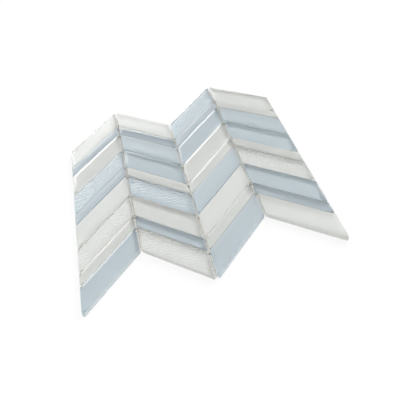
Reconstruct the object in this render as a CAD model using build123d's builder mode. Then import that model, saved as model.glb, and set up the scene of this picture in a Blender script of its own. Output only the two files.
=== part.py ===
"""Glass mosaic sheet in a chevron layout.

Four columns of slanted glass strips, wide and narrow, bonded face up on an open net.
The sheet lies flat on its net: X runs across the columns, Y along them, Z up through
the glass, and the origin is in the middle of the sheet at the underside of the net.
"""

import os
from math import cos, floor, radians, tan

from build123d import *

column_pitch = 75.0
column_joint = 2.4
strip_slope = 45.0
narrow_width = 13.6
strip_joint = 1.0
glass_thickness = 8.0
edge_radius = 1.0
tip_cut = 3.2

yarns_per_column = 6
yarn_width = 1.2
yarn_thickness = 0.25
net_margin = 2.5

# Colour and finish of each strip, column by column, from the far end to the near end.
FINISHES = (
    (
        "white_textured", "blue_frosted", "white_gloss",
        "blue_textured", "blue_frosted", "white_frosted",
        "white_textured", "white_gloss", "blue_gloss",
    ),
    (
        "white_frosted", "blue_gloss", "blue_frosted",
        "blue_gloss", "white_frosted", "blue_textured",
        "white_gloss", "blue_gloss", "white_textured",
    ),
    (
        "blue_textured", "blue_frosted", "blue_gloss",
        "white_gloss", "white_gloss", "blue_frosted",
        "white_frosted", "white_gloss", "blue_frosted",
    ),
    (
        "white_gloss", "white_frosted", "blue_frosted",
        "blue_gloss", "white_frosted", "white_textured",
        "blue_gloss", "blue_gloss", "white_frosted",
    ),
)

# Two narrow strips and their joint make one wide strip, so the joints of the columns line up.
wide_width = 2 * narrow_width + strip_joint
strip_widths = (wide_width, narrow_width, wide_width) * 3

gradient = tan(radians(strip_slope))
stretch = 1 / cos(radians(strip_slope))
column_length = sum(width + strip_joint for width in strip_widths) * stretch
strip_run = column_pitch - column_joint
net_height = 2 * yarn_thickness
# From the end of a column at its seam back to where the blunt tip leaves the seam.
tip_setback = gradient * column_joint / 2 + stretch * strip_joint / 2 + tip_cut
yarn_pitch = column_pitch / yarns_per_column
columns = len(FINISHES)
sheet_half = columns * column_pitch / 2


def column_centre(column):
    """X of the middle of a column."""
    return (column - (columns - 1) / 2) * column_pitch


def column_rise(column):
    """Slope of a column's strips: they rise to +X in the first column, then alternate."""
    return gradient if column % 2 == 0 else -gradient


def make_strip(width, rise, x, y):
    """One glass strip with its middle at (x, y), resting on the net."""
    side = strip_run / 2
    end = width * stretch / 2
    lift = rise * side
    with BuildPart() as strip:
        with BuildSketch(Plane((x, y, net_height))) as outline:
            with BuildLine():
                Polyline(
                    (-side, -lift - end),
                    (side, lift - end),
                    (side, lift + end),
                    (-side, -lift + end),
                    close=True,
                )
            make_face()
            tips = outline.vertices().sort_by(Axis.Y)
            chamfer([tips[0], tips[-1]], tip_cut)
        extrude(amount=glass_thickness)
        fillet(strip.faces().sort_by(Axis.Z)[-1].edges(), edge_radius)
    return strip.part


def make_net(column):
    """The net under one column: cross yarns below, long yarns bonded on top of them.

    Its last long yarn runs along the seam to the next column and also holds that column's cross yarns.
    """
    middle = column_centre(column)
    rise = column_rise(column)
    half_length = column_length / 2 - net_margin
    glass_edge = sheet_half - column_joint / 2 - net_margin
    left_edge = max(middle - column_pitch / 2, -glass_edge)
    right_edge = min(middle + column_pitch / 2, glass_edge)
    yarn_half = yarn_width / 2
    yarn_reach = {
        middle - column_pitch / 2 + i * yarn_pitch: half_length
        for i in range(1, yarns_per_column)
    }
    if column < columns - 1:
        yarn_reach[middle + column_pitch / 2] = half_length - tip_setback
    rows = floor((half_length + gradient * column_pitch / 2) / yarn_pitch)
    with BuildPart() as net:
        with BuildSketch():
            for row in range(-rows, rows + 1):
                y = row * yarn_pitch
                low = (y - half_length + yarn_half) / rise
                high = (y + half_length - yarn_half) / rise
                left = max(left_edge, middle + min(low, high))
                right = min(right_edge, middle + max(low, high))
                crossed = [
                    x
                    for x, reach in yarn_reach.items()
                    if left <= x - yarn_half and x <= right and abs(y - rise * (x - middle)) + yarn_half <= reach
                ]
                if crossed:
                    with Locations(((left + right) / 2, y)):
                        Rectangle(right - left, yarn_width)
        extrude(amount=yarn_thickness)
        with BuildSketch(Plane.XY.offset(yarn_thickness)):
            for x, reach in yarn_reach.items():
                with Locations((x, rise * (x - middle))):
                    Rectangle(yarn_width, 2 * reach)
        extrude(amount=yarn_thickness)
    return net.part


os.makedirs("parts", exist_ok=True)

for column, finishes in enumerate(FINISHES):
    net = make_net(column)
    net.label = f"net_column{column + 1}"
    export_step(net, f"parts/{net.label}.step")

    y = column_length / 2
    for row, (width, finish) in enumerate(zip(strip_widths, finishes)):
        pitch = (width + strip_joint) * stretch
        strip = make_strip(width, column_rise(column), column_centre(column), y - pitch / 2)
        strip.label = f"column{column + 1}_strip{row + 1}_{finish}"
        export_step(strip, f"parts/{strip.label}.step")
        y -= pitch
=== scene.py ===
"""Looks of the chevron glass mosaic sheet: glass strips with painted backs on a resin-coated net."""

import math

import bpy
import numpy as np
from mathutils import Matrix, Vector
from mathutils.geometry import delaunay_2d_cdt


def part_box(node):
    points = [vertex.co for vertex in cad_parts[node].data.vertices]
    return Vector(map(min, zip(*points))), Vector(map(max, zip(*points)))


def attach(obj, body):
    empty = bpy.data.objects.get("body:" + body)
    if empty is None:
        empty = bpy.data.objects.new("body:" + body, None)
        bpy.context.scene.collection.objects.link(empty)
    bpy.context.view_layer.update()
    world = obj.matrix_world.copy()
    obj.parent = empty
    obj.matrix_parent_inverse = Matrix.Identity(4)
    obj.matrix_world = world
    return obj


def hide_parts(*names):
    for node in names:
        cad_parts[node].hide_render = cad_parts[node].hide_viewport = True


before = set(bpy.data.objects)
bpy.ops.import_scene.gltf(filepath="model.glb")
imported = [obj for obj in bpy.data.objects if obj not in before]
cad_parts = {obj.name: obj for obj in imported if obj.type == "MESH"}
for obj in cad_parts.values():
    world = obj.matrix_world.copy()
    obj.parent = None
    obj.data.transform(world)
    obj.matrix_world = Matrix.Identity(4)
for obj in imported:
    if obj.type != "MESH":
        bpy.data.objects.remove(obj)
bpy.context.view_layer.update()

# Sizes of the sheet in millimetres. The strips rise or fall at 45 degrees.
MM = 0.001
COLUMNS = 4
COLUMN_PITCH = 75.0
COLUMN_JOINT = 2.4
NARROW_WIDTH = 13.6
STRIP_JOINT = 1.0
WIDE_WIDTH = 2 * NARROW_WIDTH + STRIP_JOINT
STRIP_WIDTHS = (WIDE_WIDTH, NARROW_WIDTH, WIDE_WIDTH) * 3
STRETCH = math.sqrt(2.0)
COLUMN_LENGTH = sum(width + STRIP_JOINT for width in STRIP_WIDTHS) * STRETCH
TIP_CUT = 3.2
EDGE_RADIUS = 1.7

# Soft bevel of a strip's top along its edges, as slope and width, and the rounding where it eases out.
BEVEL_SLOPE = 0.19
BEVEL_WIDTH = 5.2
BEVEL_EASE = 0.7
BEVEL_CORNER = 1.2

# Rounding of a strip's upright edges, the ground arris round its back, and the back's lift off the net.
UPRIGHT_RADIUS = 1.8
ARRIS_WIDTH = 1.0
ARRIS_HEIGHT = 0.6
ARRIS_RADIUS = 0.4
ARRIS_TIP_CUT = 2.4
PAINT_LIFT = 0.06

# The net, the beads of glue in each seam and how far below a joint the pocket of the blunt tips lies.
YARNS_PER_COLUMN = 6
YARN_WIDTH = 1.2
YARN_THICKNESS = 0.25
NET_MARGIN = 2.5
TIP_SETBACK = COLUMN_JOINT / 2 + STRETCH * STRIP_JOINT / 2 + TIP_CUT
SEAM_BEADS = 26
POCKET_DROP = 1.3

# Spacing of the mesh of plain and textured tops, and the depth, fading rim and rib pitch of the relief.
PLAIN_STEP = 1.1
RELIEF_STEP = 0.6
RELIEF_DEPTH = 0.95
RELIEF_FADE = 2.5
RIB_PITCH = 4.5


def column_centre(column):
    return (column - (COLUMNS - 1) / 2) * COLUMN_PITCH


def column_rise(column):
    return 1.0 if column % 2 == 0 else -1.0


def ripple(x, y, length, rng, waves=7):
    """Smooth irregular field of about unit size, with features about as long as length."""
    total = np.zeros_like(x)
    for _ in range(waves):
        angle = rng.uniform(0, 2 * math.pi)
        pitch = length * rng.uniform(0.7, 1.5)
        phase = rng.uniform(0, 2 * math.pi)
        total += np.sin((x * math.cos(angle) + y * math.sin(angle)) * 2 * math.pi / pitch + phase)
    return total / math.sqrt(waves / 2)


# Materials

GLASS_IOR = 1.52


def new_material(name):
    material = bpy.data.materials.new(name)
    material.use_nodes = True
    tree = material.node_tree
    return material, tree, tree.nodes["Principled BSDF"]


def noise(tree, scale, detail, stretch=(1.0, 1.0, 1.0)):
    """Noise in the piece's own coordinates; scale is in waves per metre."""
    coordinates = tree.nodes.new("ShaderNodeTexCoord")
    mapping = tree.nodes.new("ShaderNodeMapping")
    mapping.inputs["Scale"].default_value = stretch
    texture = tree.nodes.new("ShaderNodeTexNoise")
    texture.inputs["Scale"].default_value = scale
    texture.inputs["Detail"].default_value = detail
    tree.links.new(coordinates.outputs["Object"], mapping.inputs["Vector"])
    tree.links.new(mapping.outputs["Vector"], texture.inputs["Vector"])
    return texture.outputs["Fac"]


def blend(tree, factor, low, high, socket):
    """Feeds a socket with a colour between low and high."""
    mix = tree.nodes.new("ShaderNodeMix")
    mix.data_type = "RGBA"
    mix.inputs["A"].default_value = (*low, 1)
    mix.inputs["B"].default_value = (*high, 1)
    tree.links.new(factor, mix.inputs["Factor"])
    tree.links.new(mix.outputs["Result"], socket)


def spread(tree, factor, low, high, socket):
    """Feeds a socket with a number between low and high."""
    level = tree.nodes.new("ShaderNodeMapRange")
    level.inputs["To Min"].default_value = low
    level.inputs["To Max"].default_value = high
    tree.links.new(factor, level.inputs["Value"])
    tree.links.new(level.outputs["Result"], socket)


def bump(tree, height, distance, shader):
    node = tree.nodes.new("ShaderNodeBump")
    node.inputs["Distance"].default_value = distance
    tree.links.new(height, node.inputs["Height"])
    tree.links.new(node.outputs["Normal"], shader.inputs["Normal"])


def shade(colour, factor):
    return [min(c * factor, 1.0) for c in colour]


def clear_glass(name, tint, roughness):
    """Top of a polished or textured strip: clear glass with the faint waves of a fire polish."""
    material, tree, shader = new_material(name)
    shader.inputs["Base Color"].default_value = (*tint, 1)
    shader.inputs["Transmission Weight"].default_value = 1.0
    shader.inputs["IOR"].default_value = GLASS_IOR
    shader.inputs["Roughness"].default_value = roughness
    bump(tree, noise(tree, 70.0, 1.0), 0.00004, shader)
    return material


def frosted_glass(name, colour):
    """Top of a frosted strip: satin glass that lets part of the light through to the paint."""
    material, tree, shader = new_material(name)
    cloud = noise(tree, 40.0, 3.0)
    blend(tree, cloud, shade(colour, 0.97), shade(colour, 1.03), shader.inputs["Base Color"])
    shader.inputs["Transmission Weight"].default_value = 0.8
    shader.inputs["IOR"].default_value = GLASS_IOR
    spread(tree, noise(tree, 600.0, 2.0), 0.42, 0.56, shader.inputs["Roughness"])
    bump(tree, noise(tree, 2600.0, 2.0), 0.00002, shader)
    return material


def ground_glass(name, outside, inside):
    """Side wall of a strip: cut and ground glass, pale from outside; seen from inside through the glass
    it takes a darker copy of its colour, a painted shade.
    """
    material, tree, shader = new_material(name)
    grain = noise(tree, 260.0, 4.0)
    side = tree.nodes.new("ShaderNodeNewGeometry")
    both = tree.nodes.new("ShaderNodeMix")
    both.data_type = "RGBA"
    blend(tree, grain, shade(outside, 0.93), shade(outside, 1.07), both.inputs["A"])
    blend(tree, grain, shade(inside, 0.93), shade(inside, 1.07), both.inputs["B"])
    # Painted shade: where the wall is seen from its back, from inside the glass, it takes the darker
    # inside colour.
    tree.links.new(side.outputs["Backfacing"], both.inputs["Factor"])
    tree.links.new(both.outputs["Result"], shader.inputs["Base Color"])
    spread(tree, noise(tree, 900.0, 2.0), 0.5, 0.75, shader.inputs["Roughness"])
    shader.inputs["Transmission Weight"].default_value = 0.3
    shader.inputs["IOR"].default_value = GLASS_IOR
    bump(tree, noise(tree, 1400.0, 3.0), 0.00004, shader)
    return material


def back_paint(name, colour):
    """Painted back of a strip, seen through the glass and from behind."""
    material, tree, shader = new_material(name)
    cloud = noise(tree, 45.0, 4.0)
    blend(tree, cloud, shade(colour, 0.975), shade(colour, 1.02), shader.inputs["Base Color"])
    spread(tree, noise(tree, 500.0, 3.0), 0.5, 0.7, shader.inputs["Roughness"])
    shader.inputs["Specular IOR Level"].default_value = 0.2
    return material


def glass_yarn():
    """Resin-coated yarn, streaked along its fibres."""
    material, tree, shader = new_material("net_yarn")
    streaks = noise(tree, 900.0, 4.0)
    blend(tree, streaks, (0.62, 0.56, 0.45), (0.80, 0.76, 0.66), shader.inputs["Base Color"])
    spread(tree, streaks, 0.45, 0.7, shader.inputs["Roughness"])
    bump(tree, noise(tree, 3000.0, 2.0), 0.00003, shader)
    return material


def dried_glue():
    """Pale glue that lets a little light in."""
    material, tree, shader = new_material("dried_glue")
    cloud = noise(tree, 700.0, 3.0)
    blend(tree, cloud, (0.66, 0.62, 0.54), (0.85, 0.82, 0.76), shader.inputs["Base Color"])
    shader.inputs["Roughness"].default_value = 0.35
    shader.inputs["Subsurface Weight"].default_value = 0.3
    shader.inputs["Subsurface Scale"].default_value = 0.0008
    return material


TINT = {"blue": (0.965, 0.985, 0.99), "white": (0.985, 0.99, 0.98)}
SATIN = {"blue": (0.705, 0.75, 0.765), "white": (0.84, 0.845, 0.835)}
WALL = {"blue": (0.70, 0.75, 0.77), "white": (0.80, 0.81, 0.78)}
# The inner wall colours are painted shade: darker copies of the wall colour for the unlit inside of a
# wall, seen through the glass.
CLEAR_WALL_PAINTED_SHADE = {"blue": (0.61, 0.67, 0.69), "white": (0.77, 0.78, 0.75)}
CLOUDED_WALL_PAINTED_SHADE = {"blue": (0.72, 0.77, 0.79), "white": (0.84, 0.85, 0.82)}
PAINT = {"blue": (0.75, 0.825, 0.865), "white": (0.92, 0.93, 0.915)}
NARROW_PAINT = {"blue": (0.76, 0.83, 0.88), "white": (0.925, 0.935, 0.915)}

FACE, SIDE, BACK = {}, {}, {}
for colour in ("blue", "white"):
    FACE[colour, "gloss"] = clear_glass(f"glass_{colour}_gloss", TINT[colour], 0.0)
    FACE[colour, "textured"] = clear_glass(f"glass_{colour}_textured", TINT[colour], 0.08)
    FACE[colour, "frosted"] = frosted_glass(f"glass_{colour}_frosted", SATIN[colour])
    clear = ground_glass(f"edge_{colour}_clear", WALL[colour], CLEAR_WALL_PAINTED_SHADE[colour])
    clouded = ground_glass(f"edge_{colour}_clouded", WALL[colour], CLOUDED_WALL_PAINTED_SHADE[colour])
    SIDE[colour, "gloss"] = clear
    SIDE[colour, "textured"] = SIDE[colour, "frosted"] = clouded
    BACK[colour, WIDE_WIDTH] = back_paint(f"paint_{colour}_wide", PAINT[colour])
    BACK[colour, NARROW_WIDTH] = back_paint(f"paint_{colour}_narrow", NARROW_PAINT[colour])
YARN = glass_yarn()
GLUE = dried_glue()


# Glass strips


def strip_corners(width, run, rise, tip_cut):
    """Corners of a strip about its middle, anticlockwise, with both acute tips cut blunt."""
    side = run / 2
    end = width * STRETCH / 2
    lift = rise * side
    corners = [
        Vector((-side, -lift - end)),
        Vector((side, lift - end)),
        Vector((side, lift + end)),
        Vector((-side, -lift + end)),
    ]
    by_height = sorted(range(4), key=lambda i: corners[i].y)
    blunt = []
    for i, corner in enumerate(corners):
        if i in (by_height[0], by_height[-1]):
            to_last = (corners[i - 1] - corner).normalized()
            to_next = (corners[(i + 1) % 4] - corner).normalized()
            blunt += [corner + to_last * tip_cut, corner + to_next * tip_cut]
        else:
            blunt.append(corner)
    return blunt


def rounded_outline(corners, radius, parts):
    """Points and outward normals of an outline with rounded corners and divided straight runs."""
    arc_steps = 4
    points, normals = [], []
    count = len(corners)
    for i, corner in enumerate(corners):
        before = (corner - corners[i - 1]).normalized()
        after = (corners[(i + 1) % count] - corner).normalized()
        first = Vector((before.y, -before.x))
        last = Vector((after.y, -after.x))
        centre = corner - (first + last).normalized() * radius / math.cos(first.angle(last) / 2)
        for k in range(arc_steps + 1):
            normal = first.lerp(last, k / arc_steps).normalized()
            points.append(centre + normal * radius)
            normals.append(normal)
    outline, outward = [], []
    for i, point in enumerate(points):
        following = points[(i + 1) % len(points)]
        corner, arc_step = divmod(i, arc_steps + 1)
        pieces = parts[corner] if arc_step == arc_steps else 1
        for k in range(pieces):
            outline.append(point.lerp(following, k / pieces))
            outward.append(normals[i])
    return np.array(outline), np.array(outward)


def side_distances(points, polygon):
    """Distance of each point from each side of a convex polygon, positive inside."""
    start = polygon
    side = np.roll(polygon, -1, axis=0) - start
    side /= np.linalg.norm(side, axis=1, keepdims=True)
    offset = points[:, None, :] - start[None, :, :]
    return side[None, :, 0] * offset[..., 1] - side[None, :, 1] * offset[..., 0]


def rounded_depth(points, polygon):
    """Distance of each point from the edge, with level lines that turn the corners in a curve."""
    return -BEVEL_CORNER * np.log(np.exp(-side_distances(points, polygon) / BEVEL_CORNER).sum(axis=1))


def bevel_drop(depth):
    """How far the top lies below its middle at a depth inside the edge."""
    return BEVEL_SLOPE * BEVEL_EASE * np.log1p(np.exp((BEVEL_WIDTH - depth) / BEVEL_EASE))


def top_points(corners, width, run, rise, inset, step):
    """Lattice points of a strip's top that lie well inside its rim."""
    side = run / 2
    end = width * STRETCH / 2
    across = np.linspace(-side, side, max(3, round(2 * side / step)))
    along = np.linspace(-end, end, max(3, round(2 * end / step)))
    u, v = np.meshgrid(across, along)
    points = np.column_stack([u.ravel(), (rise * u + v).ravel()])
    return points[side_distances(points, corners).min(axis=1) > inset + 0.5 * step]


def crinkle_relief(points, seed):
    """Height from -1 to 0 of the rolled relief: broken ribs along X that wander and swirl."""
    rng = np.random.default_rng(seed)
    x, y = points.T
    sway = 1.3 * ripple(x, y, 40.0, rng) + 0.35 * ripple(x, y, 11.0, rng)
    ribs = np.sin(2 * math.pi * (y + sway) / RIB_PITCH)
    breaks = ripple(x / 1.8, y, 5.0, rng)
    grain = ripple(x, y, 3.0, rng)
    height = ribs * (0.75 + 0.35 * breaks) + 0.36 * grain
    return np.clip((height - 1.6) / 3.2, -1.0, 0.0)


def make_strip(node, width, rise, colour, finish, seed):
    """Closed strip in place of its node: glass top, ground walls and a painted back."""
    low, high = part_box(node)
    run = (high.x - low.x) / MM
    height = (high.z - low.z) / MM
    centre = (low + high) / 2
    step = RELIEF_STEP if finish == "textured" else PLAIN_STEP
    corners = strip_corners(width, run, rise, TIP_CUT)
    sides = [(corners[(i + 1) % len(corners)] - corner).length for i, corner in enumerate(corners)]
    parts = [max(1, round(side / step)) for side in sides]
    outline, outward = rounded_outline(corners, UPRIGHT_RADIUS, parts)
    arris = strip_corners(width - 2 * ARRIS_WIDTH, run - 2 * ARRIS_WIDTH, rise, ARRIS_TIP_CUT)
    foot, _ = rounded_outline(arris, ARRIS_RADIUS, parts)
    count = len(outline)
    convex = np.array(corners)

    # Rings down the outside: rounded edge below the bevel, wall, and arris to the painted back.
    # Narrow bands beside the wall keep its shading flat.
    tilt = math.atan(BEVEL_SLOPE)
    edge_steps = 6
    band = 0.25
    turns = [tilt + (math.pi / 2 - tilt) * k / edge_steps for k in range(edge_steps + 1)]
    rim_inset = EDGE_RADIUS * (1 - math.sin(tilt))
    rim_z = height - bevel_drop(rim_inset)
    edge_z = rim_z - EDGE_RADIUS * math.cos(tilt)
    rings = [
        (outline - outward * EDGE_RADIUS * (1 - math.sin(a)), edge_z + EDGE_RADIUS * math.cos(a))
        for a in turns[1:]
    ]
    glass_rings = len(rings)
    rings += [(outline, edge_z - band), (outline, ARRIS_HEIGHT + band), (outline, ARRIS_HEIGHT)]
    rings += [(0.9 * outline + 0.1 * foot, 0.9 * ARRIS_HEIGHT + 0.1 * PAINT_LIFT), (foot, PAINT_LIFT)]

    rim = outline - outward * rim_inset
    inner = top_points(convex, width, run, rise, rim_inset, step)
    rim_loop = [(i, (i + 1) % count) for i in range(count)]
    spots = [Vector(p) for p in (*rim, *inner)]
    flat, _, triangles, *_ = delaunay_2d_cdt(spots, rim_loop, [], 1, 1e-5)
    top = np.array(flat)
    depth = np.maximum(rounded_depth(top, convex), rim_inset)
    top_z = height - bevel_drop(depth)
    if finish == "textured":
        fade = np.clip((depth - rim_inset) / RELIEF_FADE, 0.0, 1.0)
        top_z += RELIEF_DEPTH * fade * crinkle_relief(top, seed)
    top_z[:count] = rim_z

    layers = [np.column_stack([top, top_z])]
    faces = [tuple(t) for t in triangles]
    slots = [0] * len(faces)
    upper = np.arange(count)
    total = len(top)
    for k, (ring, z) in enumerate(rings):
        layers.append(np.column_stack([ring, np.full(count, z)]))
        lower = np.arange(total, total + count)
        total += count
        faces += zip(upper, lower, np.roll(lower, -1), np.roll(upper, -1))
        slots += [0 if k < glass_rings else 1] * count
        upper = lower
    faces.append(tuple(reversed(upper)))
    slots.append(2)

    mesh = bpy.data.meshes.new(f"{node}_glass")
    mesh.from_pydata(np.concatenate(layers) * MM, [], faces)
    for material in (FACE[colour, finish], SIDE[colour, finish], BACK[colour, width]):
        mesh.materials.append(material)
    mesh.polygons.foreach_set("material_index", slots)
    mesh.polygons.foreach_set("use_smooth", [slot < 2 for slot in slots])
    mesh.validate()
    strip = bpy.data.objects.new(f"{node}_glass", mesh)
    strip.location = (centre.x, centre.y, low.z)
    bpy.context.scene.collection.objects.link(strip)
    bpy.context.view_layer.update()
    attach(strip, "root")
    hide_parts(node)


for index, node in enumerate(sorted(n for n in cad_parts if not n.startswith("net_"))):
    column_name, strip_name, colour, finish = node.split("_")
    narrow = strip_name in ("strip2", "strip5", "strip8")
    rise = column_rise(int(column_name[-1]) - 1)
    make_strip(node, NARROW_WIDTH if narrow else WIDE_WIDTH, rise, colour, finish, index)


# Net and glue


def yarn_run(start, end, level, rng):
    """Flattened tube between two points of the net plane, a little wavy and uneven in width."""
    sides = 8
    step = 3.0
    start, end = np.array(start), np.array(end)
    length = np.linalg.norm(end - start)
    ahead = (end - start) / length
    beside = np.array((-ahead[1], ahead[0]))
    stations = max(2, round(length / step)) + 1
    t = np.linspace(0, length, stations)
    ease = np.minimum(1.0, np.minimum(t, length - t) / 4.0)
    sway = 0.14 * ease * ripple(t, np.zeros_like(t), 23.0, rng)
    wide = YARN_WIDTH / 2 * (0.93 + 0.07 * ripple(t, np.zeros_like(t), 11.0, rng))
    points = []
    for k in range(stations):
        middle = start + ahead * t[k] + beside * sway[k]
        for j in range(sides):
            a = 2 * math.pi * (j + 0.5) / sides
            spot = middle + beside * wide[k] * math.cos(a)
            points.append((spot[0], spot[1], level + YARN_THICKNESS / 2 * math.sin(a)))
    faces = []
    for k in range(stations - 1):
        for j in range(sides):
            here, beyond = k * sides + j, k * sides + (j + 1) % sides
            faces.append((here, beyond, beyond + sides, here + sides))
    faces.append(tuple(reversed(range(sides))))
    faces.append(tuple(range((stations - 1) * sides, stations * sides)))
    return points, faces


def glue_bead(x, y, size, rng):
    """Small uneven bead of dried glue that sits on the seam yarn between the glass walls."""
    around, up = 10, 5
    points = [(x, y, YARN_THICKNESS)]
    for i in range(1, up):
        polar = math.pi * i / up
        for j in range(around):
            a = 2 * math.pi * j / around
            r = math.sin(polar) * (1 + 0.18 * rng.uniform(-1, 1))
            points.append((
                x + size[0] * r * math.cos(a),
                y + size[1] * r * math.sin(a),
                YARN_THICKNESS + size[2] * (1 - math.cos(polar)) / 2,
            ))
    points.append((x, y, YARN_THICKNESS + size[2]))
    faces = []
    for j in range(around):
        k = (j + 1) % around
        faces.append((0, 1 + k, 1 + j))
        for i in range(up - 2):
            a, b = 1 + i * around, 1 + (i + 1) * around
            faces.append((a + j, a + k, b + k, b + j))
        last = 1 + (up - 2) * around
        faces.append((last + j, last + k, len(points) - 1))
    return points, faces


def make_net(column):
    """Net under one column: cross yarns below, long yarns on them, beads of glue along the seam."""
    rng = np.random.default_rng(100 + column)
    middle = column_centre(column)
    rise = column_rise(column)
    half_length = COLUMN_LENGTH / 2 - NET_MARGIN
    yarn_pitch = COLUMN_PITCH / YARNS_PER_COLUMN
    yarn_half = YARN_WIDTH / 2
    glass_edge = COLUMNS * COLUMN_PITCH / 2 - COLUMN_JOINT / 2 - NET_MARGIN
    left_edge = max(middle - COLUMN_PITCH / 2, -glass_edge)
    right_edge = min(middle + COLUMN_PITCH / 2, glass_edge)
    reach = {middle - COLUMN_PITCH / 2 + i * yarn_pitch: half_length for i in range(1, YARNS_PER_COLUMN)}
    seam = middle + COLUMN_PITCH / 2
    has_seam = column < COLUMNS - 1
    if has_seam:
        reach[seam] = half_length - TIP_SETBACK

    points, faces, slots = [], [], []

    def add(piece, slot):
        first = len(points)
        points.extend(piece[0])
        faces.extend(tuple(first + i for i in face) for face in piece[1])
        slots.extend([slot] * len(piece[1]))

    for x, half in reach.items():
        y = rise * (x - middle)
        add(yarn_run((x, y - half), (x, y + half), 1.5 * YARN_THICKNESS, rng), 0)
    rows = math.floor((half_length + COLUMN_PITCH / 2) / yarn_pitch)
    for row in range(-rows, rows + 1):
        y = row * yarn_pitch
        ends = sorted((rise * (y - half_length + yarn_half), rise * (y + half_length - yarn_half)))
        left = max(left_edge, middle + ends[0])
        right = min(right_edge, middle + ends[1])
        crossed = [
            x for x, half in reach.items()
            if left <= x - yarn_half and x <= right and abs(y - rise * (x - middle)) + yarn_half <= half
        ]
        if crossed:
            add(yarn_run((left, y), (right, y), 0.5 * YARN_THICKNESS, rng), 0)
    if has_seam:
        seam_y = rise * COLUMN_PITCH / 2
        for _ in range(SEAM_BEADS):
            y = seam_y + rng.uniform(-1, 1) * (reach[seam] - 3.0)
            size = (rng.uniform(0.45, 0.85), rng.uniform(0.5, 2.2), rng.uniform(0.7, 2.4))
            add(glue_bead(seam + rng.uniform(-0.25, 0.25), y, size, rng), 1)
        # The blunt tips leave a pocket at each joint, where the glue wells up.
        y = seam_y + COLUMN_LENGTH / 2
        for width in STRIP_WIDTHS[:-1]:
            y -= (width + STRIP_JOINT) * STRETCH
            size = (rng.uniform(1.2, 1.8), rng.uniform(0.8, 1.2), rng.uniform(3.0, 5.5))
            add(glue_bead(seam + rng.uniform(-0.3, 0.3), y - rise * POCKET_DROP, size, rng), 1)

    name = f"net_column{column + 1}"
    mesh = bpy.data.meshes.new(f"{name}_yarns")
    mesh.from_pydata(np.array(points) * MM, [], faces)
    mesh.materials.append(YARN)
    mesh.materials.append(GLUE)
    mesh.polygons.foreach_set("material_index", slots)
    mesh.polygons.foreach_set("use_smooth", [len(face) < 5 for face in faces])
    net = bpy.data.objects.new(f"{name}_yarns", mesh)
    bpy.context.scene.collection.objects.link(net)
    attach(net, "root")
    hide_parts(name)


for column in range(COLUMNS):
    make_net(column)


# Floor, light and camera


# Soft lights as azimuth, elevation, full radius and outer radius in degrees, and strength.
KEY_LIGHT = (57.0, 32.0, 9.0, 23.0, 9.4)
FAR_LEFT_LIGHT = (-17.0, 15.0, 3.0, 22.0, 5.6)
LOW_GLOW = (1.0, 8.0, 5.0, 16.0, 4.4)
ROOM_LEVEL = 0.62
FLOOR_WHITE = 0.88


def combine(tree, operation, first, second):
    """Joins two numbers by a maths operation."""
    node = tree.nodes.new("ShaderNodeMath")
    node.operation = operation
    tree.links.new(first, node.inputs[0])
    tree.links.new(second, node.inputs[1])
    return node.outputs[0]


def seen_directly(tree):
    """1 for camera, glossy and transmission rays that have met no matt surface, otherwise 0."""
    path = tree.nodes.new("ShaderNodeLightPath")
    seen = path.outputs["Is Camera Ray"]
    for ray in ("Is Glossy Ray", "Is Transmission Ray"):
        seen = combine(tree, "MAXIMUM", seen, path.outputs[ray])
    direct = tree.nodes.new("ShaderNodeMath")
    direct.operation = "LESS_THAN"
    direct.inputs[1].default_value = 0.5
    tree.links.new(path.outputs["Diffuse Depth"], direct.inputs[0])
    return combine(tree, "MULTIPLY", seen, direct.outputs[0])


def make_floor():
    """White floor that keeps a soft trace of the sheet's shadow."""
    half = 6.0
    mesh = bpy.data.meshes.new("floor")
    corners = [(-half, -half, 0), (half, -half, 0), (half, half, 0), (-half, half, 0)]
    mesh.from_pydata(corners, [], [(0, 1, 2, 3)])
    floor = bpy.data.objects.new("floor", mesh)
    floor.location.z = -0.0002
    bpy.context.scene.collection.objects.link(floor)
    material = bpy.data.materials.new("floor")
    material.use_nodes = True
    tree = material.node_tree
    tree.nodes.clear()
    output = tree.nodes.new("ShaderNodeOutputMaterial")
    matt = tree.nodes.new("ShaderNodeBsdfDiffuse")
    matt.inputs["Color"].default_value = (0.93, 0.93, 0.93, 1)
    white = tree.nodes.new("ShaderNodeEmission")
    mix = tree.nodes.new("ShaderNodeMixShader")
    spread(tree, seen_directly(tree), 0.0, FLOOR_WHITE, mix.inputs["Fac"])
    tree.links.new(matt.outputs[0], mix.inputs[1])
    tree.links.new(white.outputs[0], mix.inputs[2])
    tree.links.new(mix.outputs[0], output.inputs["Surface"])
    mesh.materials.append(material)


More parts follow.
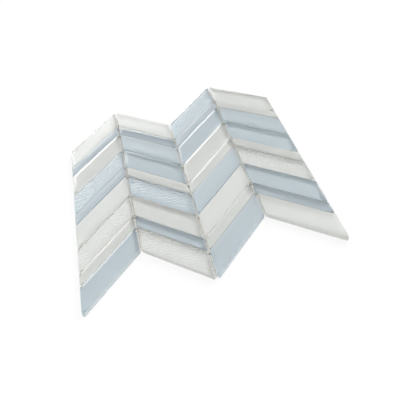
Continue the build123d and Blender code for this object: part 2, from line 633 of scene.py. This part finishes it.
def soft_light(tree, azimuth, elevation, inner, outer, strength):
    """Round soft light in the sky, full inside one angle and gone at another, all in degrees.

    Azimuth runs from +Y towards +X.
    """
    turn, climb = math.radians(azimuth), math.radians(elevation)
    centre = (math.sin(turn) * math.cos(climb), math.cos(turn) * math.cos(climb), math.sin(climb))
    coordinates = tree.nodes.new("ShaderNodeTexCoord")
    dot = tree.nodes.new("ShaderNodeVectorMath")
    dot.operation = "DOT_PRODUCT"
    dot.inputs[1].default_value = centre
    tree.links.new(coordinates.outputs["Generated"], dot.inputs[0])
    fall = tree.nodes.new("ShaderNodeMapRange")
    fall.interpolation_type = "SMOOTHSTEP"
    fall.inputs["From Min"].default_value = math.cos(math.radians(outer))
    fall.inputs["From Max"].default_value = math.cos(math.radians(inner))
    fall.inputs["To Max"].default_value = strength
    tree.links.new(dot.outputs["Value"], fall.inputs["Value"])
    return fall.outputs["Result"]


def make_studio():
    """Pale room with soft lights on the right and at the far left and a low glow behind the sheet."""
    world = bpy.data.worlds.new("studio")
    bpy.context.scene.world = world
    world.use_nodes = True
    tree = world.node_tree
    background = tree.nodes["Background"]
    background.inputs["Color"].default_value = (1, 1, 1, 1)
    lights = soft_light(tree, *KEY_LIGHT)
    for light in (FAR_LEFT_LIGHT, LOW_GLOW):
        lights = combine(tree, "ADD", lights, soft_light(tree, *light))
    room = tree.nodes.new("ShaderNodeMath")
    room.operation = "ADD"
    spread(tree, seen_directly(tree), ROOM_LEVEL, 1.0, room.inputs[0])
    tree.links.new(lights, room.inputs[1])
    tree.links.new(room.outputs[0], background.inputs["Strength"])


def make_camera():
    """Camera in front of the sheet and above it, looking down along the columns."""
    camera = bpy.data.cameras.new("camera")
    camera.sensor_width = 36.0
    focal_length, picture_width = 577.388, 400
    camera.lens = focal_length / picture_width * camera.sensor_width
    right = Vector((0.96130758, -0.20402450, -0.18509924))
    up = Vector((0.27334696, 0.62305876, 0.73285689))
    ahead = Vector((0.03419306, 0.75509720, -0.65472059))
    place = Vector((-16.06336, -599.45194, 471.84510)) * MM
    viewer = bpy.data.objects.new("camera", camera)
    viewer.matrix_world = Matrix.Translation(place) @ Matrix((right, up, -ahead)).transposed().to_4x4()
    bpy.context.scene.collection.objects.link(viewer)
    bpy.context.scene.camera = viewer


make_floor()
make_studio()
make_camera()

scene = bpy.context.scene
scene.view_settings.view_transform = "Standard"
scene.cycles.max_bounces = 32
scene.cycles.diffuse_bounces = 12
scene.cycles.glossy_bounces = 12
scene.cycles.transmission_bounces = 24
